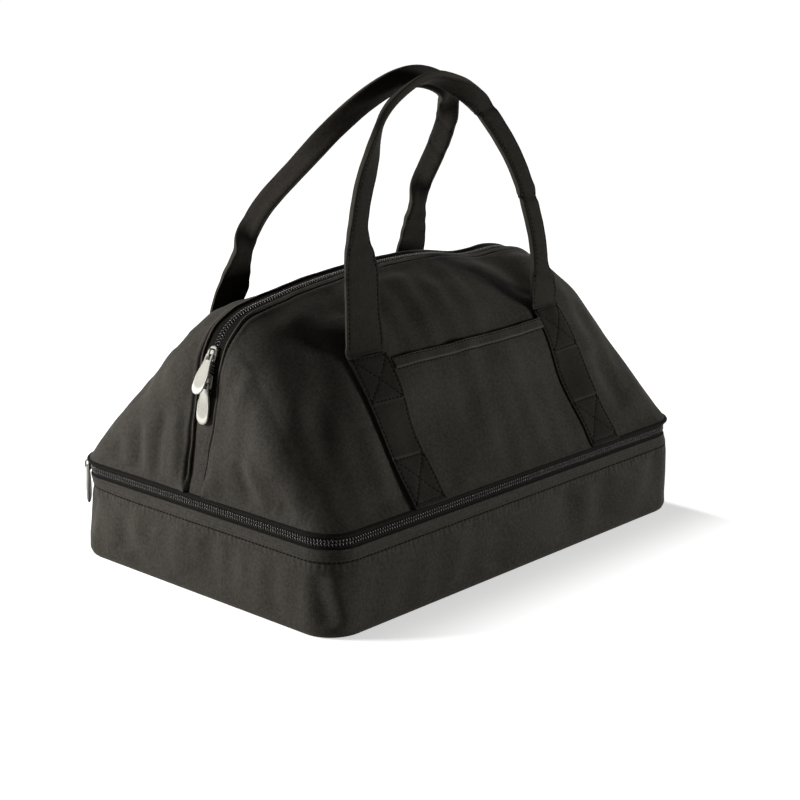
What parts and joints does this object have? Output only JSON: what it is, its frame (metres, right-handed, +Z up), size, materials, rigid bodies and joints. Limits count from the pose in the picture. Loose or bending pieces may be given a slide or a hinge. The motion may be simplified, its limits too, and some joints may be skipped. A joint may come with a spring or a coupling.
{
  "type": "casserole carrier",
  "caption": "Soft carrier with a zipped arched tote as the hinged lid of an insulated dish compartment, with strap handles and a front pocket.",
  "frame": {"origin": "middle of the underside of the dish compartment, on the floor", "axes": "+X along the length, the zip sliders at -X; +Y to the hinged back, the pocket facing -Y; +Z up"},
  "size_m": [0.4534, 0.309, 0.4086],
  "materials": {
    "cloth": "charcoal smooth woven polyester with a soft satin sheen",
    "strap": "charcoal woven strap, edge stitched",
    "zip_tape": "black woven zip tape",
    "zip_coil": "black nylon coil",
    "lining": "wipe-clean silver lining",
    "foam": "white closed-cell foam",
    "board": "black plastic sheet",
    "zip_metal": "nickel-plated, satin polish"
  },
  "bodies": {
    "base": {"base_bottom_panel": "cloth", "base_stiffener_board": "board", "base_floor_foam": "foam", "base_wall": "cloth", "base_wall_foam": "foam", "base_liner": "lining", "base_zip_tape": "zip_tape", "base_zip_coil": "zip_coil", "hinge_strip_lower": "cloth"},
    "lid": {"lid_zip_tape": "zip_tape", "lid_zip_coil": "zip_coil", "hinge_strip_upper": "cloth", "divider_lining": "lining", "divider_foam": "foam", "divider_board": "board", "front_panel": "cloth", "back_panel": "cloth", "front_panel_lining": "lining", "back_panel_lining": "lining", "left_placket": "cloth", "right_placket": "cloth", "top_zip_front_tape": "zip_tape", "top_zip_back_tape": "zip_tape", "top_zip_front_coil": "zip_coil", "top_zip_back_coil": "zip_coil", "front_left_strap": "strap", "front_right_strap": "strap", "back_left_strap": "strap", "back_right_strap": "strap", "pocket_panel": "cloth", "pocket_hem": "cloth"},
    "front_handle": {"front_handle": "strap"},
    "back_handle": {"back_handle": "strap"},
    "upper_slider": {"upper_slider": "zip_metal"},
    "upper_pull": {"upper_slider_pull": "zip_metal"},
    "lower_slider": {"lower_slider": "zip_metal"},
    "lower_pull": {"lower_slider_pull": "zip_metal"},
    "base_slider": {"base_slider": "zip_metal"},
    "base_pull": {"base_slider_pull": "zip_metal"}
  },
  "joints": [
    {"name": "lid_hinge", "type": "hinge", "parent": "base", "child": "lid", "pos_m": [0, 0.1507, 0.0768], "axis": [-1, 0, 0], "range_deg": [0, 110]},
    {"name": "front_handle_swing", "type": "hinge", "parent": "lid", "child": "front_handle", "pos_m": [0, -0.0873, 0.1942], "axis": [1, 0, 0], "range_deg": [0, 135]},
    {"name": "back_handle_swing", "type": "hinge", "parent": "lid", "child": "back_handle", "pos_m": [0, 0.0873, 0.1942], "axis": [-1, 0, 0], "range_deg": [0, 135]},
    {"name": "upper_slider_travel", "type": "hinge", "parent": "lid", "child": "upper_slider", "pos_m": [-0.15266, 0, 0.17706], "axis": [0, 1, 0], "range_deg": [0, 57]},
    {"name": "upper_pull_swing", "type": "hinge", "parent": "upper_slider", "child": "upper_pull", "pos_m": [-0.20349, 0, 0.19608], "axis": [0, 1, 0], "range_deg": [0, 120]},
    {"name": "lower_slider_travel", "type": "slide", "parent": "lid", "child": "lower_slider", "axis": [0.2062, 0, 0.9785], "range_m": [0, 0.003]},
    {"name": "lower_pull_swing", "type": "hinge", "parent": "lower_slider", "child": "lower_pull", "pos_m": [-0.20879, 0, 0.1738], "axis": [0, 1, 0], "range_deg": [0, 40]},
    {"name": "base_slider_travel", "type": "hinge", "parent": "base", "child": "base_slider", "pos_m": [-0.1945, 0.1235, 0.0765], "axis": [0, 0, 1], "range_deg": [0, 52]},
    {"name": "base_pull_swing", "type": "hinge", "parent": "base_slider", "child": "base_pull", "pos_m": [-0.21392, 0.14836, 0.0751], "axis": [0.788, 0.6157, 0], "range_deg": [0, 120]}
  ]
}
